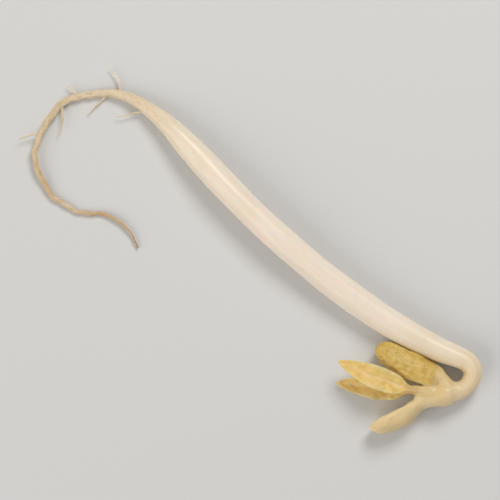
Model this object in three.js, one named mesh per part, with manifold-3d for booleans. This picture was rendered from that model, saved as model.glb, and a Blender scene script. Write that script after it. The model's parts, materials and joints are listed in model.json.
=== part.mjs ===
// A single mung bean sprout lying on a flat surface: one plump stem that bends over in a hook at its
// head and thins out into a curled root at its other end, with the two halves of the bean and the
// first pair of leaves past the hook. Millimetres, +Z up. The origin is on the surface, under the
// middle of the sprout's box.

import * as THREE from "three";
import { mergeVertices } from "three/addons/utils/BufferGeometryUtils.js";
import Module from "manifold-3d";

// Driving dimensions
const STEM_RADIUS = 1.95; // where the stem is thickest
const HOOK_RADIUS = 1.24; // in the bend
const NODE_RADIUS = 1.12; // the joint that carries the bean halves
const SHOOT_RADIUS = 0.6; // the short stalk past that joint, which carries the leaves
const ROOT_RADIUS = 0.52; // where the root proper begins
const ROOT_TIP_RADIUS = 0.22;
const BEAN_WIDTH = 4.3;
const BEAN_THICKNESS = 2.5;
const LEAF_WIDTH = 3.1;
const LEAF_THICKNESS = 0.62;

// Colours and finishes
const FINISH = {
  stem: { color: 0xefe6d6, roughness: 0.38, metalness: 0 },
  bean: { color: 0xd9bf78, roughness: 0.5, metalness: 0 },
  leaf: { color: 0xdcc262, roughness: 0.5, metalness: 0 },
};

// The middle line from the shoot's end, through the hook and down the stem to the root's tip. Seen
// from above it is measured from the outermost point of the hook.
const STEM_LINE = [
  [-8.2, -2.1, 2.75],
  [-5.7, -2.75, 2.55],
  [-3.4, -3.1, 2.35],
  [-1.7, -2.62, 2.2],
  [-0.38, -1.4, 2.1],
  [0, 0.15, 2.02],
  [-0.72, 1.3, 1.94],
  [-2.2, 2.02, 1.86],
  [-4.3, 2.82, 1.76],
  [-7.4, 4.3, 1.64],
  [-11, 6.4, 1.6],
  [-14.3, 8.6, 1.62],
  [-20.2, 13, 1.86],
  [-26.6, 18.4, 2.25],
  [-32.6, 24.3, 2.2],
  [-37.8, 29.9, 1.75],
  [-41.8, 33.9, 1.22],
  [-46, 36.6, 0.74],
  [-50.6, 37.2, 0.46],
  [-54.9, 35.6, 0.72],
  [-57.7, 32, 1.1],
  [-58.3, 27.8, 0.85],
  [-56.6, 23.9, 0.4],
  [-53.1, 21.5, 0.26],
  [-49.3, 20.9, 0.3],
  [-46.2, 19.2, 0.45],
  [-44.7, 16.4, 0.3],
];

// The stem's outline: its radius at distances along the middle line.
const STEM_OUTLINE = [
  [0, SHOOT_RADIUS * 0.75],
  [1.6, SHOOT_RADIUS],
  [3.2, SHOOT_RADIUS * 1.08],
  [4.9, NODE_RADIUS],
  [6.3, NODE_RADIUS * 0.98],
  [9.5, HOOK_RADIUS],
  [12.5, 1.38],
  [16, 1.6],
  [21, 1.8],
  [28, STEM_RADIUS * 0.98],
  [38, STEM_RADIUS],
  [48, STEM_RADIUS * 0.98],
  [56, 1.8],
  [61, 1.5],
  [64.5, 1.1],
  [68, 0.76],
  [73, ROOT_RADIUS],
  [84, 0.42],
  [95, 0.33],
  [107, ROOT_TIP_RADIUS],
];

// How far apart the stem's rings stand, up to each distance.
const RING_SPACING = [
  { upTo: 4, step: 0.6 },
  { upTo: 17, step: 0.45 },
  { upTo: 64, step: 1.6 },
  { upTo: Infinity, step: 1.15 },
];
const END_RINGS = [0, 0.1, 0.35, 0.7]; // in a rounded end, as shares of its depth
const STEM_SIDES = 20;
const LINE_DIVISIONS = 1000; // for measuring along a line
const LINE_SPACING = 0.6; // between the places where a line is smoothed

// Side rootlets on the upper part of the root, on both sides in turn, leaning towards its tip
const ROOTLETS = {
  count: 6,
  from: 66,
  to: 85,
  unevenness: 0.6, // of their places, as a share of the space between them
  length: { least: 1.3, most: 3 },
  radius: 0.22,
  tipRadius: 0.13,
  sides: 6,
  rings: 4,
  lean: 0.45,
  bend: 0.1,
  seed: 7,
};

// Half a bean, from its neck to its far end: the outline and the thickness as shares of the greatest
const BEAN_OUTLINE = [
  [0, 0.4],
  [0.06, 0.56],
  [0.15, 0.86],
  [0.3, 0.98],
  [0.55, 1],
  [0.8, 0.93],
  [1, 0.8],
];
const BEAN_DEPTH = [
  [0, 0.64],
  [0.12, 0.72],
  [0.3, 0.93],
  [0.55, 1],
  [1, 0.85],
];
const BEAN_ROUND_END = 0.28; // as a share of the length
const BEAN_FLATNESS = [
  [0, 0],
  [0.08, 0],
  [0.36, 1],
]; // of the inner face: 0 in the round neck, 1 where it is dished
const BEAN_OUTER_SHARE = 0.72; // of the thickness, on the rounded side of the middle line
const BEAN_DISH = 0.16; // how far the inner face is dished, as a share of the thickness
const BEAN_RINGS = 16;
const BEAN_SIDES = 16;

// Each half's middle line, and the turn about it that faces its rounded side outward, in degrees
const BEAN_HALVES = {
  cotyledon_inner: {
    line: [
      [-4.15, -0.85, 2.35],
      [-5.5, -0.47, 2.1],
      [-9, 0.61, 1.75],
      [-13, 3.1, 1.7],
    ],
    turn: 50,
  },
  cotyledon_outer: {
    line: [
      [-6.4, -4.1, 2.2],
      [-7.7, -4.7, 2.15],
      [-10.1, -5.75, 2.07],
      [-13.8, -7.45, 1.94],
    ],
    turn: -76,
  },
};

// A leaf from its stalk to its point: the outline as shares of the greatest width
const LEAF_OUTLINE = [
  [0, 0.28],
  [0.06, 0.38],
  [0.17, 0.76],
  [0.3, 0.95],
  [0.45, 1],
  [0.65, 0.86],
  [0.85, 0.5],
  [1, 0.16],
];
const LEAF_ROUND_END = 0.08; // as a share of the length
const LEAF_FOLD = 0.32; // rise of the blade's halves from the midrib
const LEAF_WAVE = { height: 0.16, count: 2.6 }; // along the edges
const LEAF_SQUARENESS = 0.45; // of the blade's section: 1 is round, 0 is square
const LEAF_RINGS = 16;
const LEAF_SIDES = 16;

const LEAVES = {
  first_leaf_upper: {
    line: [
      [-8.5, -2.25, 3.25],
      [-10.1, -1.75, 3.7],
      [-13.3, -0.6, 3.85],
      [-18, 1.4, 3.1],
    ],
    turn: 5,
  },
  first_leaf_lower: {
    line: [
      [-8.5, -2.5, 2.2],
      [-11.2, -2.35, 1.8],
      [-14.6, -1.9, 1.25],
      [-18.2, -1.6, 0.6],
    ],
    turn: -12,
  },
};

const UP = new THREE.Vector3(0, 0, 1);
const wasm = await Module();
wasm.setup();

// A smooth curve through [place, value] pairs, read at one place
function valueAt(pairs, place) {
  const last = pairs.length - 1;
  if (place <= pairs[0][0]) return pairs[0][1];
  if (place >= pairs[last][0]) return pairs[last][1];
  const slope = (k) => {
    const before = pairs[Math.max(k - 1, 0)];
    const after = pairs[Math.min(k + 1, last)];
    return (after[1] - before[1]) / (after[0] - before[0]);
  };
  const i = pairs.findIndex((pair) => pair[0] > place) - 1;
  const width = pairs[i + 1][0] - pairs[i][0];
  const t = (place - pairs[i][0]) / width;
  const rise = 3 * t ** 2 - 2 * t ** 3;
  const bend = slope(i) * (t ** 3 - 2 * t ** 2 + t) + slope(i + 1) * (t ** 3 - t ** 2);
  return THREE.MathUtils.lerp(pairs[i][1], pairs[i + 1][1], rise) + width * bend;
}

// How full a rounded end is at a distance from it: 0 at the end, 1 from the given reach on
function roundedEnd(fromEnd, reach) {
  const inward = Math.min(Math.max(fromEnd / reach, 0), 1);
  return Math.sqrt(1 - (1 - inward) ** 2);
}

// A line through points, with its bends evened out
function lineThrough(points) {
  const rough = new THREE.CatmullRomCurve3(points.map((point) => new THREE.Vector3(...point)));
  const places = rough.getSpacedPoints(Math.round(rough.getLength() / LINE_SPACING));
  const evened = places.slice(1, -1).map((place, i) => {
    const halfway = places[i].clone().lerp(places[i + 2], 0.5);
    return halfway.lerp(place, 0.5);
  });
  const line = new THREE.CatmullRomCurve3([places[0], ...evened, places.at(-1)]);
  line.arcLengthDivisions = LINE_DIVISIONS;
  return line;
}

// A point beside a line: side is to the right of the way along it, and over is above it.
function besideLine(line, share, side, over) {
  const along = line.getTangentAt(share);
  const right = along.clone().cross(UP).normalize();
  const above = right.clone().cross(along);
  return line.getPointAt(share).addScaledVector(right, side).addScaledVector(above, over);
}

// Moves every vertex of a closed geometry and joins those that share a place. What would reach below
// the surface is pressed flat against it.
function reshape(geometry, move) {
  geometry.deleteAttribute("normal");
  geometry.deleteAttribute("uv");
  const position = geometry.getAttribute("position");
  for (let i = 0; i < position.count; i++) {
    const point = move(new THREE.Vector3().fromBufferAttribute(position, i));
    position.setXYZ(i, point.x, point.y, Math.max(point.z, 0));
  }
  const joined = mergeVertices(geometry, 1e-4);
  const kept = [];
  for (let i = 0; i < joined.index.count; i += 3) {
    const [a, b, c] = joined.index.array.slice(i, i + 3);
    if (a !== b && b !== c && c !== a) kept.push(a, b, c);
  }
  joined.setIndex(kept);
  return joined;
}

// A closed body along a line. Its rings start as circles of radius 1, and section gives the place
// beside the line, in mm, of each point of a circle. The first point of each is start radians round
// from the top.
function sweep(line, shares, sides, section, start = 0) {
  const last = shares.length - 1;
  const profile = shares.map((share, i) => new THREE.Vector2(i > 0 && i < last ? 1 : 0, share));
  const body = new THREE.LatheGeometry(profile, sides, start);
  return reshape(body, (point) => {
    const [side, over] = section(point.y, point.x, point.z);
    return besideLine(line, point.y, side, over);
  });
}

// The same place, turned about the line: positive turns the top to the right.
function turned(side, over, degrees) {
  const angle = THREE.MathUtils.degToRad(degrees);
  return [
    side * Math.cos(angle) + over * Math.sin(angle),
    over * Math.cos(angle) - side * Math.sin(angle),
  ];
}

// Ring places from 0 to 1 that crowd towards both ends
function crowdedShares(rings) {
  return Array.from({ length: rings + 1 }, (_, i) => (1 - Math.cos((Math.PI * i) / rings)) / 2);
}

function solidOf(geometry) {
  return new wasm.Manifold(
    new wasm.Mesh({
      numProp: 3,
      vertProperties: new Float32Array(geometry.getAttribute("position").array),
      triVerts: new Uint32Array(geometry.index.array),
    }),
  );
}

function geometryOf(solid) {
  const mesh = solid.getMesh();
  return new THREE.BufferGeometry()
    .setAttribute("position", new THREE.BufferAttribute(mesh.vertProperties, 3))
    .setIndex(new THREE.BufferAttribute(mesh.triVerts, 1));
}

// The stem with its hook and root

const stemLine = lineThrough(STEM_LINE);
const stemLength = stemLine.getLength();

function stemRadius(distance) {
  const radius = valueAt(STEM_OUTLINE, distance);
  return radius * roundedEnd(Math.min(distance, stemLength - distance), radius);
}

function stemRings() {
  const endRings = END_RINGS.map((share) => share * SHOOT_RADIUS);
  const distances = [...endRings];
  let distance = SHOOT_RADIUS;
  while (distance < stemLength - SHOOT_RADIUS) {
    distances.push(distance);
    distance += RING_SPACING.find((zone) => distance < zone.upTo).step;
  }
  distances.push(...endRings.map((fromEnd) => stemLength - fromEnd).reverse());
  return distances.map((place) => place / stemLength);
}

// One of its sides faces straight down, so that it rests on a flat.
function bareStem() {
  const round = (share, across, over) => {
    const radius = stemRadius(share * stemLength);
    return [across * radius, over * radius];
  };
  return sweep(stemLine, stemRings(), STEM_SIDES, round, Math.PI / STEM_SIDES);
}

function rootlet(distance, side, length) {
  const share = distance / stemLength;
  const start = stemLine.getPointAt(share);
  const along = stemLine.getTangentAt(share);
  const heading = besideLine(stemLine, share, side, 0).sub(start);
  heading.addScaledVector(along, ROOTLETS.lean).normalize();
  const upright = new THREE.Vector3(0, 1, 0);
  const leaning = new THREE.Quaternion().setFromUnitVectors(upright, heading);
  const { radius, tipRadius, sides, rings, bend } = ROOTLETS;
  const cone = new THREE.CylinderGeometry(tipRadius, radius, length, sides, rings);
  return reshape(cone.translate(0, length / 2, 0), (point) => {
    const curved = bend * point.y ** 2;
    return point.applyQuaternion(leaning).add(start).addScaledVector(along, curved);
  });
}

function randomFrom(seed) {
  let state = seed;
  return () => {
    state = (state * 1664525 + 1013904223) % 2 ** 32;
    return state / 2 ** 32;
  };
}

function stemWithRoot() {
  const draw = randomFrom(ROOTLETS.seed);
  const { count, from, to, length, unevenness } = ROOTLETS;
  let body = solidOf(bareStem());
  for (let i = 0; i < count; i++) {
    const distance = THREE.MathUtils.lerp(from, to, (i + unevenness * draw()) / count);
    const side = i % 2 ? 1 : -1;
    const reach = THREE.MathUtils.lerp(length.least, length.most, draw());
    const sunk = stemRadius(distance);
    body = body.add(solidOf(rootlet(distance, side, sunk + reach)));
  }
  return geometryOf(body);
}

// Half a bean: rounded outside, dished inside, on a round neck
function beanHalf({ line, turn }) {
  const middle = lineThrough(line);
  return sweep(middle, crowdedShares(BEAN_RINGS), BEAN_SIDES, (share, across, over) => {
    const full = roundedEnd(1 - share, BEAN_ROUND_END);
    const side = (across * BEAN_WIDTH * valueAt(BEAN_OUTLINE, share) * full) / 2;
    const depth = BEAN_THICKNESS * valueAt(BEAN_DEPTH, share) * full;
    const flatness = valueAt(BEAN_FLATNESS, share);
    const outer = THREE.MathUtils.lerp(0.5, BEAN_OUTER_SHARE, flatness);
    const inner = 1 - outer - BEAN_DISH * (1 - across ** 2) * full * flatness;
    return turned(side, over * depth * (over > 0 ? outer : inner), turn);
  });
}

// A leaf: a thin blade, folded a little along its midrib, with waved edges
function leaf({ line, turn }) {
  const middle = lineThrough(line);
  const squared = (value) => Math.sign(value) * Math.abs(value) ** LEAF_SQUARENESS;
  return sweep(middle, crowdedShares(LEAF_RINGS), LEAF_SIDES, (share, across, over) => {
    const full = roundedEnd(1 - share, LEAF_ROUND_END);
    const side = (squared(across) * LEAF_WIDTH * valueAt(LEAF_OUTLINE, share) * full) / 2;
    const outward = (2 * side) / LEAF_WIDTH;
    const wave = Math.sin(2 * Math.PI * LEAF_WAVE.count * share) * LEAF_WAVE.height * outward ** 2;
    const rise = LEAF_FOLD * Math.abs(side) + wave;
    return turned(side, rise + (squared(over) * LEAF_THICKNESS) / 2, turn);
  });
}

function named(name, geometry, finish) {
  const mesh = new THREE.Mesh(geometry, new THREE.MeshStandardMaterial(finish));
  mesh.name = name;
  return mesh;
}

const sprout = new THREE.Group();
sprout.add(named("stem_with_root", stemWithRoot(), FINISH.stem));
for (const [name, half] of Object.entries(BEAN_HALVES)) {
  sprout.add(named(name, beanHalf(half), FINISH.bean));
}
for (const [name, blade] of Object.entries(LEAVES)) {
  sprout.add(named(name, leaf(blade), FINISH.leaf));
}

const box = new THREE.Box3().setFromObject(sprout);
const middle = box.getCenter(new THREE.Vector3());
sprout.position.set(-middle.x, -middle.y, -box.min.z);

export default sprout;
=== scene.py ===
import json
import math

import bpy
import numpy as np
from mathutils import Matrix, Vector
from mathutils.bvhtree import BVHTree


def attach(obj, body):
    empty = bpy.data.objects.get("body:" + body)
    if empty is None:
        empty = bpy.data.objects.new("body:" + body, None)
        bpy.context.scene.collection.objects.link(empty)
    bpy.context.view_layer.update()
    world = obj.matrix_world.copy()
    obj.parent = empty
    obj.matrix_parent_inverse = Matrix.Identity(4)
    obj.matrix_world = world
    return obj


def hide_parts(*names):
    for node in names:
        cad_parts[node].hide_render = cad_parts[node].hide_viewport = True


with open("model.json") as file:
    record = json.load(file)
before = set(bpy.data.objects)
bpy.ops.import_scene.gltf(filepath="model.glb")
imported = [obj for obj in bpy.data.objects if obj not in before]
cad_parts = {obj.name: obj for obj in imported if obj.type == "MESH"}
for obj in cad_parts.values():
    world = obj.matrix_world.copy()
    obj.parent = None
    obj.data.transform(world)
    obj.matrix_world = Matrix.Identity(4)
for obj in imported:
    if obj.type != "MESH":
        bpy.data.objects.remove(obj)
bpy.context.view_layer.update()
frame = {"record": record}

MM = 0.001

# Driving dimensions, as in the solids
STEM_RADIUS = 1.95  # where the stem is thickest
HOOK_RADIUS = 1.24  # in the bend
NODE_RADIUS = 1.12  # the joint that carries the bean halves
SHOOT_RADIUS = 0.6  # the short stalk past that joint, which carries the leaves
ROOT_RADIUS = 0.52  # where the root proper begins
ROOT_TIP_RADIUS = 0.22
BEAN_WIDTH = 4.3
BEAN_THICKNESS = 2.5
LEAF_WIDTH = 3.1

# The middle line from the shoot's end, through the hook and down the stem to the root's tip
STEM_LINE = [
    (-8.2, -2.1, 2.75),
    (-5.7, -2.75, 2.55),
    (-3.4, -3.1, 2.35),
    (-1.7, -2.62, 2.2),
    (-0.38, -1.4, 2.1),
    (0, 0.15, 2.02),
    (-0.72, 1.3, 1.94),
    (-2.2, 2.02, 1.86),
    (-4.3, 2.82, 1.76),
    (-7.4, 4.3, 1.64),
    (-11, 6.4, 1.6),
    (-14.3, 8.6, 1.62),
    (-20.2, 13, 1.86),
    (-26.6, 18.4, 2.25),
    (-32.6, 24.3, 2.2),
    (-37.8, 29.9, 1.75),
    (-41.8, 33.9, 1.22),
    (-46, 36.6, 0.74),
    (-50.6, 37.2, 0.46),
    (-54.9, 35.6, 0.72),
    (-57.7, 32, 1.1),
    (-58.3, 27.8, 0.85),
    (-56.6, 23.9, 0.4),
    (-53.1, 21.5, 0.26),
    (-49.3, 20.9, 0.3),
    (-46.2, 19.2, 0.45),
    (-44.7, 16.4, 0.3),
]
REST_POINT = (-11, 6.4)  # the place on that line that is right over the rest face

# The stem's radius at distances along that line
STEM_OUTLINE = [
    (0, SHOOT_RADIUS * 0.75),
    (1.6, SHOOT_RADIUS),
    (3.2, SHOOT_RADIUS * 1.08),
    (4.9, NODE_RADIUS),
    (6.3, NODE_RADIUS * 0.98),
    (9.5, HOOK_RADIUS),
    (12.5, 1.38),
    (16, 1.6),
    (21, 1.8),
    (28, STEM_RADIUS * 0.98),
    (38, STEM_RADIUS),
    (48, STEM_RADIUS * 0.98),
    (56, 1.8),
    (61, 1.5),
    (64.5, 1.1),
    (68, 0.76),
    (73, ROOT_RADIUS),
    (84, 0.42),
    (95, 0.33),
    (107, ROOT_TIP_RADIUS),
]
COLLAR = 66  # where the stem ends and the root begins
STEM_SIDES = 80
STEM_RINGS = ((17, 0.12), (60, 0.24), (200, 0.13))  # up to each distance, and how far apart
STEM_END_STEPS = 8  # between the rings of each rounded end

# Side rootlets, at the places of the solids', which draw their numbers in the same way
ROOTLET_COUNT = 6
ROOTLET_STRETCH = (COLLAR, 85)
ROOTLET_UNEVENNESS = 0.6  # of their spacing
ROOTLET_LENGTHS = (1.3, 3)
ROOTLET_LEAN = 0.45  # towards the root's tip, for a millimetre outwards
ROOTLET_BEND = 0.1  # the same way, for a millimetre squared
ROOTLET_RADIUS = 0.16  # finer than the solids'
ROOTLET_RINGS = 41
ROOTLET_SIDES = 12
PLACES_SEED = 7
PLACES_FACTOR = 1664525
PLACES_STEP = 1013904223
PLACES_RANGE = 2**32

# Half a bean: outline and thickness from its neck to its far end, as shares of the greatest
BEAN_OUTLINE = [(0, 0.4), (0.06, 0.56), (0.15, 0.86), (0.3, 0.98), (0.55, 1), (0.8, 0.93), (1, 0.8)]
BEAN_DEPTH = [(0, 0.64), (0.12, 0.72), (0.3, 0.93), (0.55, 1), (1, 0.85)]
BEAN_ROUND_END = 0.28  # of its length
BEAN_FLATNESS = [(0, 0), (0.08, 0), (0.36, 1)]  # 0 in the round neck, 1 where it is dished
BEAN_OUTER_SHARE = 0.72  # of its thickness, from its line to its rounded face
BEAN_DISH = 0.16  # of its thickness, out of its inner face
BEAN_RINGS = 132
BEAN_SIDES = 96

# Each half's line and turn, as in the solids, the place inside the joint where its neck starts, and
# how much wider it is on its right, to press on the stem where the solids keep a gap
BEAN_HALVES = {
    "cotyledon_inner": {
        "line": [(-4.15, -0.85, 2.35), (-5.5, -0.47, 2.1), (-9, 0.61, 1.75), (-13, 3.1, 1.7)],
        "turn": 50,
        "start": (-3.3, -2.5, 2.4),
        "press": 0.3,
        "paleness": 0,
        "seed": 3,
    },
    "cotyledon_outer": {
        "line": [(-6.4, -4.1, 2.2), (-7.7, -4.7, 2.15), (-10.1, -5.75, 2.07), (-13.8, -7.45, 1.94)],
        "turn": -76,
        "start": (-3.2, -3.05, 2.35),
        "press": 0,
        # the outer half is paler, partly its own colour and partly painted light that lifts the shade
        # falling on it
        "paleness": 0.65,
        "seed": 4,
    },
}

# A leaf: outline from its stalk to its point, as shares of the greatest width
LEAF_OUTLINE = [
    (0, 0.28),
    (0.06, 0.38),
    (0.17, 0.76),
    (0.3, 0.95),
    (0.45, 1),
    (0.65, 0.86),
    (0.85, 0.5),
    (1, 0.16),
]
LEAF_ROUND_END = 0.08  # of its length
LEAF_FOLD = 0.32  # how steeply both sides rise from the midrib
LEAF_WAVE = 0.16  # how far its edges rise and fall
LEAF_WAVE_COUNT = 2.6  # along its length
LEAF_THICKNESS = 0.3  # about half the solids', as on a real blade
LEAF_RINGS = 170
LEAF_SIDES = 80
LEAF_START = (-6.9, -2.42, 2.66)  # inside the shoot

LEAVES = {
    "first_leaf_upper": {
        "line": [(-8.5, -2.25, 3.25), (-10.1, -1.75, 3.7), (-13.3, -0.6, 3.85), (-18, 1.4, 3.1)],
        "turn": 5,
        "start": LEAF_START,
        "seed": 8,
    },
    "first_leaf_lower": {
        "line": [(-8.5, -2.5, 2.2), (-11.2, -2.35, 1.8), (-14.6, -1.9, 1.25), (-18.2, -1.6, 0.6)],
        "turn": -12,
        "start": LEAF_START,
        "seed": 9,
    },
}

# Lines and values along them

LINE_SPACING = 0.6  # between the places where a line is evened out, as in the solids
LINE_STEPS = 24  # in each stretch between two points
LINE_TURN_REACH = 0.5  # on each side, when its turn is measured


def curve_through(points):
    """Close places on a centripetal curve through points, and their distances along it."""
    longer = np.vstack([2 * points[0] - points[1], points, 2 * points[-1] - points[-2]])
    t = np.linspace(0, 1, LINE_STEPS, endpoint=False)[:, None]
    stretches = []
    for before, start, end, after in zip(longer, longer[1:], longer[2:], longer[3:]):
        first, span, last = (
            np.linalg.norm(b - a) ** 0.5 for a, b in ((before, start), (start, end), (end, after))
        )
        chord = (end - start) / span
        leave = (start - before) / first - (end - before) / (first + span) + chord
        reach = chord - (after - start) / (span + last) + (after - end) / last
        stretches.append(
            start
            + (end - start) * (3 * t**2 - 2 * t**3)
            + leave * span * (t**3 - 2 * t**2 + t)
            + reach * span * (t**3 - t**2)
        )
    places = np.vstack([*stretches, points[-1:]])
    steps = np.linalg.norm(np.diff(places, axis=0), axis=1)
    return places, np.concatenate([[0], np.cumsum(steps)])


def read_along(distances, values, distance):
    """Numbers or places that are known at some distances, read at others."""
    if values.ndim == 1:
        return np.interp(distance, distances, values)
    return np.stack([np.interp(distance, distances, axis) for axis in values.T], -1)


class Line:
    """A smooth line through points, read at distances from its start."""

    def __init__(self, points):
        rough, distances = curve_through(np.array(points, float))
        stretches = round(distances[-1] / LINE_SPACING)
        places = read_along(distances, rough, np.linspace(0, distances[-1], stretches + 1))
        places[1:-1] = places[1:-1] / 2 + (places[:-2] + places[2:]) / 4
        self.places, self.distances = curve_through(places)
        self.length = self.distances[-1]
        ways = np.gradient(self.places, self.distances, axis=0)
        self.ways = ways / np.linalg.norm(ways, axis=1)[:, None]
        self.headings = np.unwrap(np.arctan2(self.ways[:, 1], self.ways[:, 0]))

    def place(self, distance):
        return read_along(self.distances, self.places, distance)

    def way(self, distance):
        """The direction along it."""
        return read_along(self.distances, self.ways, distance)

    def turn(self, distance):
        """How sharply it turns left, seen from above, in radians per millimetre."""
        low = np.clip(distance - LINE_TURN_REACH, 0, self.length)
        high = np.clip(distance + LINE_TURN_REACH, 0, self.length)
        before, after = (read_along(self.distances, self.headings, end) for end in (low, high))
        return (after - before) / (high - low)

    def beside(self, distance, side, over):
        """Places beside the line: side is to the right of the way along it, and over is above it."""
        way = self.way(distance)
        right = np.cross(way, (0, 0, 1))
        right /= np.linalg.norm(right, axis=-1)[..., None]
        above = np.cross(right, way)
        return self.place(distance) + right * side[..., None] + above * over[..., None]


def along_pairs(pairs, place):
    """A smooth curve through (place, value) pairs, read at an array of places."""
    x, y = np.array(pairs, float).T
    after = np.append(np.arange(1, len(x)), len(x) - 1)
    before = np.append(0, np.arange(len(x) - 1))
    slopes = (y[after] - y[before]) / (x[after] - x[before])
    place = np.clip(place, x[0], x[-1])
    i = np.clip(np.searchsorted(x, place, side="right") - 1, 0, len(x) - 2)
    width = x[i + 1] - x[i]
    t = (place - x[i]) / width
    bend = slopes[i] * (t**3 - 2 * t**2 + t) + slopes[i + 1] * (t**3 - t**2)
    return y[i] + (y[i + 1] - y[i]) * (3 * t**2 - 2 * t**3) + width * bend


def rounded_end(from_end, reach):
    """0 at an end and 1 from the given reach on, round in between."""
    inward = np.clip(from_end / reach, 0, 1)
    return np.sqrt(1 - (1 - inward) ** 2)


def smooth_step(value, low, high):
    t = np.clip((value - low) / (high - low), 0, 1)
    return t * t * (3 - 2 * t)


RIPPLE_WAVES = 18
RIPPLE_SPREAD = (0.65, 1.5)  # how many waves there are in one size


def ripple(draw, size, *coordinates):
    """Smooth random relief, mostly between -1 and 1, with waves about size long."""
    relief = 0
    for _ in range(RIPPLE_WAVES):
        heading = draw.normal(size=len(coordinates))
        heading *= 2 * math.pi * draw.uniform(*RIPPLE_SPREAD) / size / np.linalg.norm(heading)
        phase = draw.uniform(0, 2 * math.pi)
        relief = relief + np.sin(sum(h * c for h, c in zip(heading, coordinates)) + phase)
    return relief / math.sqrt(RIPPLE_WAVES)


def turned(side, over, degrees):
    """The same place turned about the line: positive turns the top to the right."""
    angle = math.radians(degrees)
    return (
        side * math.cos(angle) + over * math.sin(angle),
        over * math.cos(angle) - side * math.sin(angle),
    )


def crowded(length, rings):
    """Distances that crowd towards both ends of a length, as a column."""
    return (length * (1 - np.cos(np.linspace(0, math.pi, rings + 1))) / 2)[1:-1, None]


def around(sides):
    """Angles round a line from its top, as a row."""
    return np.linspace(0, 2 * math.pi, sides, endpoint=False)[None, :]


# Meshes

FILLET_STEPS = 8
FILLET_TOP = 0.25  # how far each side rises where both meet, as a share of the fillet's reach
FILLET_MARGIN = 1.5  # how far round a place surfaces are searched, in times the fillet's limit
JOINT = "joint"  # on a mesh, 1 where it meets another and 0 away from there

# Where the zero of all these lines is in the frame, in millimetres, as the rest face shows
rest = frame["record"]["mounts"][0]["pos_m"]
ORIGIN = np.array([rest[0] / MM - REST_POINT[0], rest[1] / MM - REST_POINT[1], 0])


def in_scene(name, data):
    thing = bpy.data.objects.new(name, data)
    bpy.context.scene.collection.objects.link(thing)
    return thing


def closed(grid):
    """A grid's values in a row, then the mean of its first ring and of its last."""
    row = grid.reshape(-1, *grid.shape[2:])
    return np.concatenate([row, grid[:1].mean(1), grid[-1:].mean(1)])


def ring_faces(rings, sides):
    """Faces between rings of places, and those that close both ends."""
    j = np.arange(sides)
    after = (j + 1) % sides
    i = np.arange(rings - 1)[:, None] * sides
    walls = np.stack([i + j, i + after, i + sides + after, i + sides + j], -1).reshape(-1, 4)
    start = rings * sides
    last = start - sides
    head = np.stack([np.full(sides, start), after, j], -1)
    tail = np.stack([np.full(sides, start + 1), last + j, last + after], -1)
    return [*walls.tolist(), *head.tolist(), *tail.tolist()]


def make_piece(name, material, places, **values):
    """A closed skin over rings by sides of places, in millimetres. Its material reads the values,
    which have 1 or 3 numbers at each place."""
    rings, sides = places.shape[:2]
    points = closed(places) + ORIGIN
    points[:, 2] = np.maximum(points[:, 2], 0)
    mesh = bpy.data.meshes.new(name)
    mesh.from_pydata((points * MM).tolist(), [], ring_faces(rings, sides))
    for key, value in values.items():
        full = closed(np.broadcast_to(value, (rings, sides, *np.shape(value)[2:])))
        kind, field = ("FLOAT", "value") if full.ndim == 1 else ("FLOAT_VECTOR", "vector")
        numbers = full.astype(np.float32).ravel()
        mesh.attributes.new(key, kind, "POINT").data.foreach_set(field, numbers)
    mesh.attributes.new(JOINT, "FLOAT", "POINT")
    mesh.shade_smooth()
    mesh.materials.append(material)
    return in_scene(name, mesh)


def fillet_rise(vertex, tree, reach):
    """How far a point rises to the fillet with another surface. The square roots of its heights over
    both surfaces add up to that of reach, so that both sides of the fillet meet in one tangent."""
    rise = 0
    for _ in range(FILLET_STEPS):
        here = vertex.co + vertex.normal * rise
        place, normal, _, gap = tree.find_nearest(here, reach)
        if place is None:
            return rise
        if (here - place).dot(normal) < 0:
            gap = 0
        rise = (rise + min((reach**0.5 - gap**0.5) ** 2, reach * FILLET_TOP)) / 2
    return rise


def surface_near(piece, place, limit):
    """The part of a piece's surface around a place, ready to be searched."""
    corners = [vertex.co.copy() for vertex in piece.data.vertices]
    near = [(corner - place).length < limit for corner in corners]
    faces = [face.vertices[:] for face in piece.data.polygons]
    return BVHTree.FromPolygons(corners, [face for face in faces if near[face[0]]])


def fuse(first, second, place, reach, limit):
    """Draw two pieces out where they meet, so that a smooth hollow fillet joins them. It is whole up
    to half the limit from a place, and fades away up to the limit."""
    place = Vector((np.array(place) + ORIGIN) * MM)
    trees = [surface_near(piece, place, FILLET_MARGIN * limit * MM) for piece in (second, first)]
    for piece, tree in zip((first, second), trees):
        joint = piece.data.attributes[JOINT].data
        near = [v for v in piece.data.vertices if (v.co - place).length < limit * MM]
        moves = []
        for vertex in near:
            fade = 1 - smooth_step((vertex.co - place).length / MM, limit / 2, limit)
            rise = fillet_rise(vertex, tree, reach * MM * fade)
            moves.append(vertex.normal * rise)
            joined = joint[vertex.index]
            joined.value = max(joined.value, rise / (reach * MM * FILLET_TOP))
        for vertex, move in zip(near, moves):
            vertex.co += move
            vertex.co.z = max(vertex.co.z, 0)


# The stem with its hook, joint and root

stem_line = Line(STEM_LINE)


def stem_radius(distance):
    radius = along_pairs(STEM_OUTLINE, distance)
    return radius * rounded_end(np.minimum(distance, stem_line.length - distance), radius)


def stem_distances():
    """Distances of its rings, which crowd towards both rounded ends, as a column."""
    end = SHOOT_RADIUS * (1 - np.cos(np.linspace(0, math.pi / 2, STEM_END_STEPS + 1)[1:-1]))
    distances = [*end]
    distance = SHOOT_RADIUS
    while distance < stem_line.length - SHOOT_RADIUS:
        distances.append(distance)
        distance += next(step for up_to, step in STEM_RINGS if distance < up_to)
    return np.array([*distances, *(stem_line.length - end[::-1])])[:, None]


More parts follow.
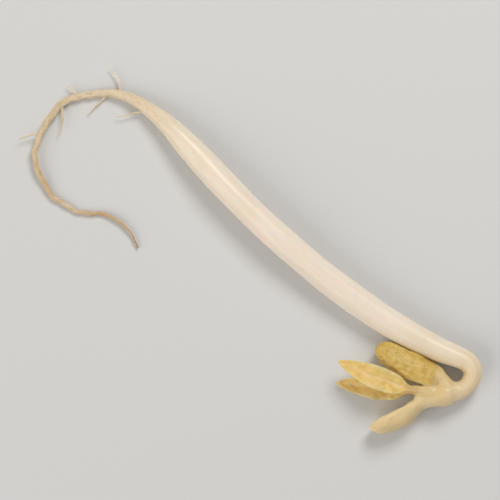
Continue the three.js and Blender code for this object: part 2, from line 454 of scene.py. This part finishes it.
# The stem's relief. Sizes, spacings and depths are in millimetres, and shares are of the radius.
STEM_SEED = 11
TO_ROOT = (COLLAR - 5, COLLAR + 3)  # between these distances the stem turns into root
TO_BARK = (COLLAR - 6, COLLAR - 1)  # fine cross creases begin
TO_SWAY = (COLLAR + 2, COLLAR + 8)  # they end, and the root begins to sway
SWELL_SIZE = 11
SWELL_SHARE = 0.022
OVAL_SHARE = 0.03
OVAL_TURN = 0.13  # radians a millimetre
OVAL_START = 0.6
RIDGE_COUNTS = (7, 9, 13, 17)  # around the stem, one set on another
RIDGE_PHASES = 6  # the highest, in radians
RIDGE_TWIST = 0.018  # radians a millimetre
RIDGE_SWING = 0.25  # radians
RIDGE_SWING_SIZE = 9
RIDGE_MEAN = 0.55
RIDGE_CHANGE = 0.45
RIDGE_CHANGE_SIZE = 14
RIDGE_DEPTH = 0.009
RIDGE_LOSS = 0.7  # the part of it that is gone on the root
FOLD_SPACING = 0.62
FOLD_DEPTH = 0.03
FOLD_POWER = 1.3  # the higher, the sharper the bends that have folds
WANDER = 1.5  # of the folds and creases, in radians
WANDER_SIZE = 1.6
KNOTS = ((3.2, 0.035), (0.8, 0.03))  # size and share
BARK_SPACING = 0.7
BARK_SHARE = 0.008
TIP_STRETCH = 6
TIP_SHARE = 0.62
TIP_GAIN = 0.38  # from the tip to the far end of that stretch
SWAYS = ((7, 0.14), (2.6, 0.05))  # size and depth


def make_stem(material):
    draw = np.random.default_rng(STEM_SEED)
    distance = stem_distances()
    angle = around(STEM_SIDES)
    radius = stem_radius(distance)
    right, top = np.sin(angle), np.cos(angle)
    u, v = radius * right, radius * top
    inside = np.clip(-right * stem_line.turn(distance) * radius, 0, 1)
    root = smooth_step(distance, *TO_ROOT)

    swell = SWELL_SHARE * ripple(draw, SWELL_SIZE, distance, 2 * u, 2 * v)
    oval = OVAL_SHARE * np.cos(2 * angle + OVAL_TURN * distance + OVAL_START)
    twist = RIDGE_TWIST * distance + RIDGE_SWING * np.sin(distance / RIDGE_SWING_SIZE)
    phases = [draw.uniform(0, RIDGE_PHASES) for _ in RIDGE_COUNTS]
    ridges = sum(np.cos(n * (angle + twist) + phase) for n, phase in zip(RIDGE_COUNTS, phases))
    change = ripple(draw, RIDGE_CHANGE_SIZE, distance, u, v)
    ridges = ridges * (RIDGE_MEAN + RIDGE_CHANGE * change)
    wander = WANDER * ripple(draw, WANDER_SIZE, distance, u, v)
    folds = inside**FOLD_POWER * np.cos(2 * math.pi * distance / FOLD_SPACING + wander)
    knots = sum(share * ripple(draw, size, distance, u, v) for size, share in KNOTS)
    past_collar = smooth_step(distance, *TO_SWAY)
    bark = smooth_step(distance, *TO_BARK) * (1 - past_collar)
    creases = BARK_SHARE * np.cos(2 * math.pi * distance / BARK_SPACING + 2 * wander + angle)

    radius = radius * (1 + swell + oval * (1 - root) + knots * root + creases * bark)
    radius = radius + RIDGE_DEPTH * ridges * (1 - RIDGE_LOSS * root) + FOLD_DEPTH * folds
    from_tip = stem_line.length - distance
    radius = radius * (TIP_SHARE + TIP_GAIN * smooth_step(from_tip, 0, TIP_STRETCH))
    sway = past_collar * sum(depth * ripple(draw, size, distance) for size, depth in SWAYS)
    return make_piece(
        "stem_and_root",
        material,
        stem_line.beside(distance + 0 * angle, radius * right + sway, radius * top),
        grain=np.stack(np.broadcast_arrays(distance, u, v), -1),
        along=distance,
        inside=inside,
        girth=radius,
    )


def rootlet_places():
    """Distance, side and length of each side rootlet, by the same draws as the solids'."""
    state = PLACES_SEED

    def draw(low, high):
        nonlocal state
        state = (state * PLACES_FACTOR + PLACES_STEP) % PLACES_RANGE
        return low + (high - low) * state / PLACES_RANGE

    low, high = ROOTLET_STRETCH
    for i in range(ROOTLET_COUNT):
        share = (i + draw(0, ROOTLET_UNEVENNESS)) / ROOTLET_COUNT
        yield low + (high - low) * share, (1 if i % 2 else -1), draw(*ROOTLET_LENGTHS)


ROOTLET_SWAY = (0.1, 0.1, 0.02)
ROOTLET_SWAY_TURN = 2.4  # radians a millimetre
ROOTLET_STEPS = 5  # between the points of its line
ROOTLET_TAPER = 0.7
ROOTLET_ROUND_END = 0.1
ROOTLET_RELIEF_SIZE = 1.3
ROOTLET_RELIEF_SHARE = 0.12


def make_rootlet(name, material, draw, distance, side, length):
    """A hair-thin side root, which bends towards the root's tip and tapers away."""
    start, on = stem_line.beside(np.array([distance, distance]), np.array([0, side]), np.zeros(2))
    way = stem_line.way(distance)
    heading = on - start + ROOTLET_LEAN * way
    heading /= np.linalg.norm(heading)
    reach = length + stem_radius(distance)
    sway = draw.normal(size=3) * ROOTLET_SWAY
    steps = np.linspace(0, reach, ROOTLET_STEPS + 1)[:, None]
    swayed = sway * np.sin(ROOTLET_SWAY_TURN * steps)
    line = Line(start + heading * steps + way * ROOTLET_BEND * steps**2 + swayed)
    along = np.linspace(0, line.length, ROOTLET_RINGS + 1)[:-1, None]
    angle = around(ROOTLET_SIDES)
    tapered = ROOTLET_RADIUS * (1 - ROOTLET_TAPER * along / line.length)
    girth = tapered * rounded_end(line.length - along, ROOTLET_ROUND_END)
    relief = ripple(draw, ROOTLET_RELIEF_SIZE, along + 0 * angle, np.sin(angle))
    girth = girth * (1 + ROOTLET_RELIEF_SHARE * relief)
    u, v = girth * np.sin(angle), girth * np.cos(angle)
    return make_piece(
        name,
        material,
        line.beside(along + 0 * angle, u, v),
        grain=np.stack(np.broadcast_arrays(distance + along, u, v), -1),
        along=distance + 0 * along,
        inside=0 * along,
        girth=girth,
    )


# The bean halves

# Their relief. Sizes, widths and depths are in millimetres, and shares are of the bean's length.
BEAN_BODY = (0.08, 0.3)  # the shares between which the relief begins
BEAN_OUTSIDE = (-0.25, 0.35)  # where the outside begins, from -1 on the inner face to 1 on the outer
BEAN_STRETCH = 0.6  # under 1, it draws waves out along the bean
DENT_SIZE = 2.4
DENT_DEPTH = 0.1
CREASE_SIZE = 1.5
CREASE_STRETCH = (0.55, 1.3)  # along and across
CREASE_SHARPNESS = 1.6
CREASE_DEPTH = 0.05  # upwards, for they stand out
WRINKLE_SIZE = 0.55
WRINKLE_DEPTH = 0.016
FURROW_WIDTH = 0.35
FURROW_DEPTH = 0.1
LEAST_GIRTH = 0.4  # nearer to the line than this, the relief is less
NECK_SHARE = 0.17  # the neck's colour has faded away there
PRESS_SHARE = 0.1  # it is pressed in full from there on


def make_bean_half(name, material, line, turn, start, press, paleness, seed):
    """Half a bean, rounded outside and dished inside, with a neck that starts inside the stem."""
    draw = np.random.default_rng(seed)
    whole = Line([start, *line])
    length = Line(line).length
    neck = whole.length - length
    distance = crowded(whole.length, BEAN_RINGS)
    angle = around(BEAN_SIDES)
    across, over = np.sin(angle), np.cos(angle)
    share = np.clip((distance - neck) / length, 0, 1)
    full = rounded_end(1 - share, BEAN_ROUND_END)
    side = across * BEAN_WIDTH * along_pairs(BEAN_OUTLINE, share) * full / 2
    depth = BEAN_THICKNESS * along_pairs(BEAN_DEPTH, share) * full
    flatness = along_pairs(BEAN_FLATNESS, share)
    outer = 0.5 + (BEAN_OUTER_SHARE - 0.5) * flatness
    inner = 1 - outer - BEAN_DISH * (1 - across**2) * full * flatness
    height = over * depth * np.where(over > 0, outer, inner)

    x = distance + 0 * angle
    outside = smooth_step(over, *BEAN_OUTSIDE) + 0 * x
    body = smooth_step(share, *BEAN_BODY)
    dents = ripple(draw, DENT_SIZE, BEAN_STRETCH * x, side, height)
    lengthwise, crosswise = CREASE_STRETCH
    lines = ripple(draw, CREASE_SIZE, lengthwise * x, crosswise * side, height)
    creases = np.clip(1 - CREASE_SHARPNESS * np.abs(lines), 0, 1)
    wrinkles = ripple(draw, WRINKLE_SIZE, BEAN_STRETCH * x, side, height)
    relief = DENT_DEPTH * dents + CREASE_DEPTH * creases + WRINKLE_DEPTH * wrinkles
    furrow = body * full * (1 - outside) * FURROW_DEPTH * np.exp(-((side / FURROW_WIDTH) ** 2))
    grow = 1 + body * full * relief / np.maximum(LEAST_GIRTH, np.hypot(side, height))
    side, height = turned(side * grow, height * grow + furrow, turn)
    pressed = side + press * smooth_step(share, 0, PRESS_SHARE) * np.clip(side, 0, 1)
    return make_piece(
        name,
        material,
        whole.beside(x, pressed, height),
        grain=np.stack([x, side, height], -1),
        neck=1 - smooth_step(share, 0, NECK_SHARE),
        outside=outside,
        crease=creases * body,
        pale=paleness + 0 * x,
    )


# The leaves

# Their veins and relief. Sizes, widths, spacings and depths are in millimetres.
BLADE_SHARE = 0.15  # of the leaf's length, where the stalk has widened into the blade
STALK_SHARE = 0.14  # of it, where the stalk's colour has faded away
STALK_THICKNESS = 1.7  # in half widths
EDGE_CROWDING = 0.8  # a power under 1, which moves points towards the edges
RIM_POWER = 6  # the higher, the closer to its edge the blade rounds off
FACE_POWER = 0.5  # the lower, the flatter both faces
EDGE_LOSS = 0.45  # the share of its thickness that is gone at its edge
VEIN_SPACING = 1.05
VEIN_LEAN = 1.25  # along the leaf, for a millimetre outwards
VEIN_WANDER = 0.25
VEIN_WANDER_SIZE = 3
VEIN_SHARPNESS = 6
VEIN_REACH = 0.75  # to the side, in half widths
VEIN_STRENGTH = 0.55  # where the midrib's is 1
MIDRIB_WIDTH = 0.16
MIDRIB_LOSS = 0.6  # the share of it that is gone at the leaf's point
GROOVE_DEPTH = 0.05  # the blade sinks this far along its veins
KEEL_DEPTH = 0.06  # and they stand out this far below it
CRINKLES = ((2.4, 0.08), (0.9, 0.03))  # size and depth
FRILL_SIZE = 1.9
FRILL_DEPTH = 0.14
FRILL_STRETCH = 0.3  # under 1, it draws the frills out across the blade


def make_leaf(name, material, line, turn, start, seed):
    """A thin blade, folded a little along its midrib, on a stalk that starts inside the shoot."""
    draw = np.random.default_rng(seed)
    whole = Line([start, *line])
    length = Line(line).length
    sunk = whole.length - length
    distance = crowded(whole.length, LEAF_RINGS)
    angle = around(LEAF_SIDES)
    share = np.clip((distance - sunk) / length, 0, 1)
    full = rounded_end(1 - share, LEAF_ROUND_END)
    half = LEAF_WIDTH * along_pairs(LEAF_OUTLINE, share) * full / 2
    across = np.sign(np.sin(angle)) * np.abs(np.sin(angle)) ** EDGE_CROWDING
    top = np.cos(angle)
    side = across * half
    x = distance + 0 * angle
    outward = np.abs(side) / (LEAF_WIDTH / 2)
    blade = smooth_step(share, 0, BLADE_SHARE)

    lean = x - VEIN_LEAN * np.abs(side) + VEIN_WANDER * ripple(draw, VEIN_WANDER_SIZE, x, side)
    vein = np.clip(np.cos(2 * math.pi * lean / VEIN_SPACING), 0, 1) ** VEIN_SHARPNESS
    vein = vein * np.exp(-((outward / VEIN_REACH) ** 4))
    midrib = np.exp(-((side / MIDRIB_WIDTH) ** 2)) * (1 - MIDRIB_LOSS * share)
    veins = np.maximum(midrib, VEIN_STRENGTH * vein) * blade
    crinkle = sum(depth * ripple(draw, size, x, side) for size, depth in CRINKLES)
    frill = outward**3 * FRILL_DEPTH * ripple(draw, FRILL_SIZE, x, FRILL_STRETCH * side)
    wave = np.sin(2 * math.pi * LEAF_WAVE_COUNT * share) * LEAF_WAVE * outward**2
    rise = LEAF_FOLD * np.abs(side) + wave + blade * (frill + crinkle - GROOVE_DEPTH * veins)
    blade_thickness = LEAF_THICKNESS * (1 - EDGE_LOSS * outward)
    thickness = blade_thickness * blade + STALK_THICKNESS * half * (1 - blade)
    rim = np.sqrt(np.maximum(1 - np.abs(across) ** RIM_POWER, 0))
    height = rise + np.sign(top) * np.abs(top) ** FACE_POWER * rim * thickness / 2
    height = height - np.where(top < 0, KEEL_DEPTH * veins, 0)
    side, height = turned(side, height, turn)
    return make_piece(
        name,
        material,
        whole.beside(x, side, height),
        grain=np.stack([x, across * half, height], -1),
        vein=veins,
        edge=outward,
        stalk=1 - smooth_step(share, 0, STALK_SHARE),
    )


# Materials


def add(tree, kind, inputs=None, **settings):
    """A shader node with its settings, and its inputs as values or as other nodes' outputs."""
    node = tree.nodes.new(kind)
    for key, value in settings.items():
        setattr(node, key, value)
    for key, value in (inputs or {}).items():
        if isinstance(value, bpy.types.NodeSocket):
            tree.links.new(value, node.inputs[key])
        else:
            node.inputs[key].default_value = value
    return node


def attribute(tree, name, output="Fac"):
    return add(tree, "ShaderNodeAttribute", attribute_name=name).outputs[output]


def maths(tree, operation, first, second):
    return add(tree, "ShaderNodeMath", {0: first, 1: second}, operation=operation).outputs[0]


def noise(tree, coordinates, stretch, size, detail=4.0, roughness=0.6):
    """Noise on coordinates in millimetres, with blotches about size wide and drawn out by stretch."""
    scale = [1 / (size * s) for s in stretch]
    mapping = add(tree, "ShaderNodeMapping", {"Vector": coordinates, "Scale": scale})
    values = {"Vector": mapping.outputs["Vector"], "Scale": 1.0, "Detail": detail}
    return add(tree, "ShaderNodeTexNoise", values | {"Roughness": roughness}).outputs["Fac"]


def ramp(tree, factor, stops):
    """stops are (place, value) or (place, colour) pairs."""
    node = add(tree, "ShaderNodeValToRGB", {"Fac": factor})
    elements = node.color_ramp.elements
    while len(elements) < len(stops):
        elements.new(0.5)
    for element, (place, value) in zip(elements, stops):
        element.position = place
        element.color = (*value, 1) if isinstance(value, tuple) else (value, value, value, 1)
    return node.outputs["Color"]


def mixed(tree, factor, first, second):
    """The first colour where factor is 0, and the second, a fixed one or not, where it is 1."""
    second = (*second, 1) if isinstance(second, tuple) else second
    node = add(tree, "ShaderNodeMix", {0: factor, 6: first, 7: second}, data_type="RGBA")
    return node.outputs[2]


FLESH_IOR = 1.4
COAT_ROUGHNESS = 0.24
THIN_GIRTH = 1.2  # under this radius in millimetres, light reaches less far in a thinner stem
SPECKS_PER_MM = 2.2
SCARS_START = (0.57, 0.67)  # the shares of the stem's whole line between which scars begin
FINE_LOW, FINE_HIGH = 0.3, 0.75  # where most of the fine noise lies


def flesh(name, subsurface, reach, coat):
    """A material for moist plant flesh, with the reach of red, green and blue light in it in mm.
    No light passes through where it meets another piece, because that piece would stop it."""
    material = bpy.data.materials.new(name)
    material.use_nodes = True
    tree = material.node_tree
    shader = tree.nodes["Principled BSDF"]
    weight = ramp(tree, attribute(tree, JOINT), [(0, subsurface), (1, 0.0)])
    tree.links.new(weight, shader.inputs["Subsurface Weight"])
    shader.inputs["Subsurface Radius"].default_value = reach
    shader.inputs["Subsurface Scale"].default_value = MM
    shader.inputs["IOR"].default_value = FLESH_IOR
    shader.inputs["Coat Weight"].default_value = coat
    shader.inputs["Coat Roughness"].default_value = COAT_ROUGHNESS
    return material, tree, shader


def finish(tree, shader, colour, at_joint, fine, roughness, bump):
    """Colour, with another at a joint, and fine noise that gives roughness between two values and a
    bump in millimetres."""
    colour = mixed(tree, attribute(tree, JOINT), colour, at_joint)
    tree.links.new(colour, shader.inputs["Base Color"])
    low, high = roughness
    rough = ramp(tree, fine, [(FINE_LOW, low), (FINE_HIGH, high)])
    tree.links.new(rough, shader.inputs["Roughness"])
    node = add(tree, "ShaderNodeBump", {"Height": fine, "Distance": bump * MM})
    tree.links.new(node.outputs["Normal"], shader.inputs["Normal"])


# Colours, in linear red, green and blue. The stem's run from the shoot's end to the root's tip, at
# distances in millimetres. The bean's and the leaf's run from dark mottles to light ones, and the
# single colours lie over these three.
STEM_COLOURS = [
    (0, (0.7, 0.5, 0.2)),
    (3.5, (0.75, 0.56, 0.26)),
    (6, (0.8, 0.64, 0.38)),
    (10, (0.82, 0.69, 0.47)),
    (15, (0.85, 0.75, 0.58)),
    (24, (0.88, 0.78, 0.66)),
    (46, (0.88, 0.785, 0.67)),
    (60, (0.84, 0.75, 0.6)),
    (68, (0.74, 0.62, 0.42)),
    (84, (0.68, 0.54, 0.33)),
    (100, (0.56, 0.4, 0.21)),
    (107, (0.4, 0.24, 0.11)),
]
STREAK_COLOUR = (0.94, 0.87, 0.79)
CLOUD_COLOUR = (0.76, 0.62, 0.42)
SCAR_COLOUR = (0.46, 0.3, 0.15)
INSIDE_COLOUR = (0.7, 0.5, 0.21)
BEAN_COLOURS = [
    (0.3, (0.51, 0.32, 0.07)),
    (0.45, (0.64, 0.43, 0.1)),
    (0.58, (0.71, 0.5, 0.13)),
    (0.75, (0.79, 0.61, 0.24)),
]
SPECK_COLOUR = (0.82, 0.68, 0.37)
CREASE_COLOUR = (0.81, 0.65, 0.29)
INNER_FACE_COLOUR = (0.78, 0.62, 0.28)
NECK_COLOUR = (0.74, 0.57, 0.3)
# paler colour of the outer half: partly its own colour, partly painted light lifting the shade on it
PALE_AND_PAINTED_LIGHT_COLOUR = (0.87, 0.73, 0.47)
BEAN_JOINT_COLOUR = (0.77, 0.6, 0.33)
LEAF_COLOURS = [(0.3, (0.74, 0.5, 0.14)), (0.5, (0.8, 0.575, 0.19)), (0.72, (0.85, 0.65, 0.27))]
VEIN_COLOUR = (0.88, 0.75, 0.47)
LEAF_EDGE_COLOUR = (0.9, 0.74, 0.46)
STALK_COLOUR = (0.72, 0.53, 0.25)
LEAF_JOINT_COLOUR = (0.67, 0.48, 0.21)


def stem_material():
    reach = (1.5, 0.95, 0.6)
    material, tree, shader = flesh("stem_surface", subsurface=0.75, reach=reach, coat=0.35)
    share = maths(tree, "DIVIDE", attribute(tree, "along"), stem_line.length)
    stops = [(distance / stem_line.length, colour) for distance, colour in STEM_COLOURS]
    plain = ramp(tree, share, stops)
    grain = attribute(tree, "grain", "Vector")
    streaks = noise(tree, grain, stretch=(12, 1, 1), size=0.53, detail=5)
    colour = mixed(tree, ramp(tree, streaks, [(0.4, 0.0), (0.72, 0.5)]), plain, STREAK_COLOUR)
    clouds = noise(tree, grain, stretch=(2, 1, 1), size=2.8, detail=3, roughness=0.55)
    colour = mixed(tree, ramp(tree, clouds, [(0.5, 0.0), (0.75, 0.28)]), colour, CLOUD_COLOUR)
    on_root = ramp(tree, share, list(zip(SCARS_START, (0.0, 1.0))))
    scars = noise(tree, grain, stretch=(2.5, 1, 1), size=0.35)
    scars = maths(tree, "MULTIPLY", on_root, ramp(tree, scars, [(0.5, 0.0), (0.75, 0.6)]))
    colour = mixed(tree, scars, colour, SCAR_COLOUR)
    inside = ramp(tree, attribute(tree, "inside"), [(0.08, 0.0), (0.5, 0.5)])
    colour = mixed(tree, inside, colour, INSIDE_COLOUR)
    fine = noise(tree, grain, stretch=(12, 1, 1), size=0.16)
    girth = maths(tree, "DIVIDE", attribute(tree, "girth"), THIN_GIRTH)
    light_scale = maths(tree, "MULTIPLY", maths(tree, "MINIMUM", girth, 1), MM)
    tree.links.new(light_scale, shader.inputs["Subsurface Scale"])
    finish(tree, shader, colour, plain, fine, roughness=(0.42, 0.54), bump=0.03)
    return material


def bean_material():
    reach = (0.9, 0.5, 0.2)
    material, tree, shader = flesh("bean_surface", subsurface=0.45, reach=reach, coat=0.12)
    grain = attribute(tree, "grain", "Vector")
    mottle = noise(tree, grain, stretch=(1.2, 1, 1), size=0.9, detail=5, roughness=0.65)
    colour = ramp(tree, mottle, BEAN_COLOURS)
    cells = add(tree, "ShaderNodeTexVoronoi", {"Vector": grain, "Scale": SPECKS_PER_MM})
    specks = ramp(tree, cells.outputs["Distance"], [(0.08, 0.5), (0.3, 0.0)])
    colour = mixed(tree, specks, colour, SPECK_COLOUR)
    crease = ramp(tree, attribute(tree, "crease"), [(0.35, 0.0), (1, 0.4)])
    colour = mixed(tree, crease, colour, CREASE_COLOUR)
    inner = ramp(tree, attribute(tree, "outside"), [(0, 0.5), (1, 0.0)])
    colour = mixed(tree, inner, colour, INNER_FACE_COLOUR)
    colour = mixed(tree, attribute(tree, "neck"), colour, NECK_COLOUR)
    # paler outer half: its own colour in part, and in part painted light that lifts its shade
    colour = mixed(tree, attribute(tree, "pale"), colour, PALE_AND_PAINTED_LIGHT_COLOUR)
    fine = noise(tree, grain, stretch=(1, 1, 1), size=0.14)
    finish(tree, shader, colour, BEAN_JOINT_COLOUR, fine, roughness=(0.42, 0.6), bump=0.045)
    return material


def leaf_material():
    reach = (0.5, 0.33, 0.14)
    material, tree, shader = flesh("leaf_surface", subsurface=0.6, reach=reach, coat=0.15)
    grain = attribute(tree, "grain", "Vector")
    mottle = noise(tree, grain, stretch=(1.5, 1, 2.5), size=0.75, detail=5)
    colour = ramp(tree, mottle, LEAF_COLOURS)
    vein = ramp(tree, attribute(tree, "vein"), [(0.1, 0.0), (0.8, 0.6)])
    colour = mixed(tree, vein, colour, VEIN_COLOUR)
    edge = ramp(tree, attribute(tree, "edge"), [(0.5, 0.0), (1, 0.6)])
    colour = mixed(tree, edge, colour, LEAF_EDGE_COLOUR)
    colour = mixed(tree, attribute(tree, "stalk"), colour, STALK_COLOUR)
    fine = noise(tree, grain, stretch=(1, 1, 1), size=0.16)
    finish(tree, shader, colour, LEAF_JOINT_COLOUR, fine, roughness=(0.4, 0.56), bump=0.035)
    return material


# Camera, floor and light, in metres and watts apart from the first two

VIEW_WIDTH = 67  # of the surface that the picture shows, in millimetres
SENSOR_WIDTH = 36  # in millimetres
CAMERA_HEIGHT = 0.42
CLIP_START = 0.01
FLOOR_SIZE = 3
FLOOR_DROP = 0.00001  # below the sprout's flats
FLOOR_COLOUR = (0.7, 0.705, 0.71)
FLOOR_ROUGHNESS = 0.7
LIGHTS = {
    "key": {"place": (0.14, 0.3, 0.34), "size": 0.2, "power": 1.1, "colour": (1, 0.98, 0.95)},
    "fill": {"place": (-0.35, -0.25, 0.3), "size": 0.5, "power": 1.3, "colour": (1, 0.95, 0.88)},
}
SKY = (1, 0.98, 0.95)
SKY_STRENGTH = 0.36


def make_camera():
    data = bpy.data.cameras.new("camera")
    data.sensor_width = SENSOR_WIDTH
    data.lens = SENSOR_WIDTH * CAMERA_HEIGHT / (VIEW_WIDTH * MM)
    data.clip_start = CLIP_START
    camera = in_scene("camera", data)
    camera.location.z = CAMERA_HEIGHT
    bpy.context.scene.camera = camera


def make_floor():
    half = FLOOR_SIZE / 2
    corners = (-half, -half), (half, -half), (half, half), (-half, half)
    mesh = bpy.data.meshes.new("floor")
    mesh.from_pydata([(x, y, -FLOOR_DROP) for x, y in corners], [], [range(4)])
    material = bpy.data.materials.new("floor")
    material.use_nodes = True
    shader = material.node_tree.nodes["Principled BSDF"]
    shader.inputs["Base Color"].default_value = (*FLOOR_COLOUR, 1)
    shader.inputs["Roughness"].default_value = FLOOR_ROUGHNESS
    mesh.materials.append(material)
    in_scene("floor", mesh)


def make_lights():
    for name, facts in LIGHTS.items():
        data = bpy.data.lights.new(name, "AREA")
        data.shape = "DISK"
        data.size = facts["size"]
        data.energy = facts["power"]
        data.color = facts["colour"]
        lamp = in_scene(name, data)
        lamp.location = facts["place"]
        lamp.rotation_euler = lamp.location.to_track_quat("Z", "Y").to_euler()
    world = bpy.data.worlds.new("studio")
    world.use_nodes = True
    background = world.node_tree.nodes["Background"]
    background.inputs["Color"].default_value = (*SKY, 1)
    background.inputs["Strength"].default_value = SKY_STRENGTH
    bpy.context.scene.world = world
    bpy.context.scene.view_settings.view_transform = "Standard"


make_camera()
make_floor()
make_lights()

# The sprout's pieces, each in place of its solid. The fillets' sizes are in millimetres.

INNER_START = BEAN_HALVES["cotyledon_inner"]["start"]
NECK_FILLETS = {
    "cotyledon_inner": {"place": INNER_START, "reach": 1.6, "limit": 4.6},
    "cotyledon_outer": {"place": (-5.6, -3.5, 2.4), "reach": 2, "limit": 4.2},
}
STALK_FILLET = {"place": STEM_LINE[0], "reach": 0.35, "limit": 2.6}
ROOTLET_FILLET_REACH = 0.3
ROOTLET_FILLET_EXTRA = 0.8  # in its limit, past twice the root's radius
ROOTLET_SEED = 5

flesh_of_stem = stem_material()
bean = bean_material()
blade = leaf_material()
stem = make_stem(flesh_of_stem)
halves = {node: make_bean_half(f"{node}_flesh", bean, **half) for node, half in BEAN_HALVES.items()}
leaves = {node: make_leaf(f"{node}_blade", blade, **leaf) for node, leaf in LEAVES.items()}
for node, piece in halves.items():
    fuse(stem, piece, **NECK_FILLETS[node])
for piece in leaves.values():
    fuse(stem, piece, **STALK_FILLET)
fuse(*leaves.values(), **STALK_FILLET)

pieces = [("stem_with_root", stem), *halves.items(), *leaves.items()]
draw = np.random.default_rng(ROOTLET_SEED)
for number, (distance, side, length) in enumerate(rootlet_places(), 1):
    name = f"rootlet_{number}"
    rootlet = make_rootlet(name, flesh_of_stem, draw, distance, side, length)
    limit = 2 * stem_radius(distance) + ROOTLET_FILLET_EXTRA
    fuse(stem, rootlet, stem_line.place(distance), ROOTLET_FILLET_REACH, limit)
    pieces.append(("stem_with_root", rootlet))

for node, piece in pieces:
    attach(piece, "root")
    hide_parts(node)
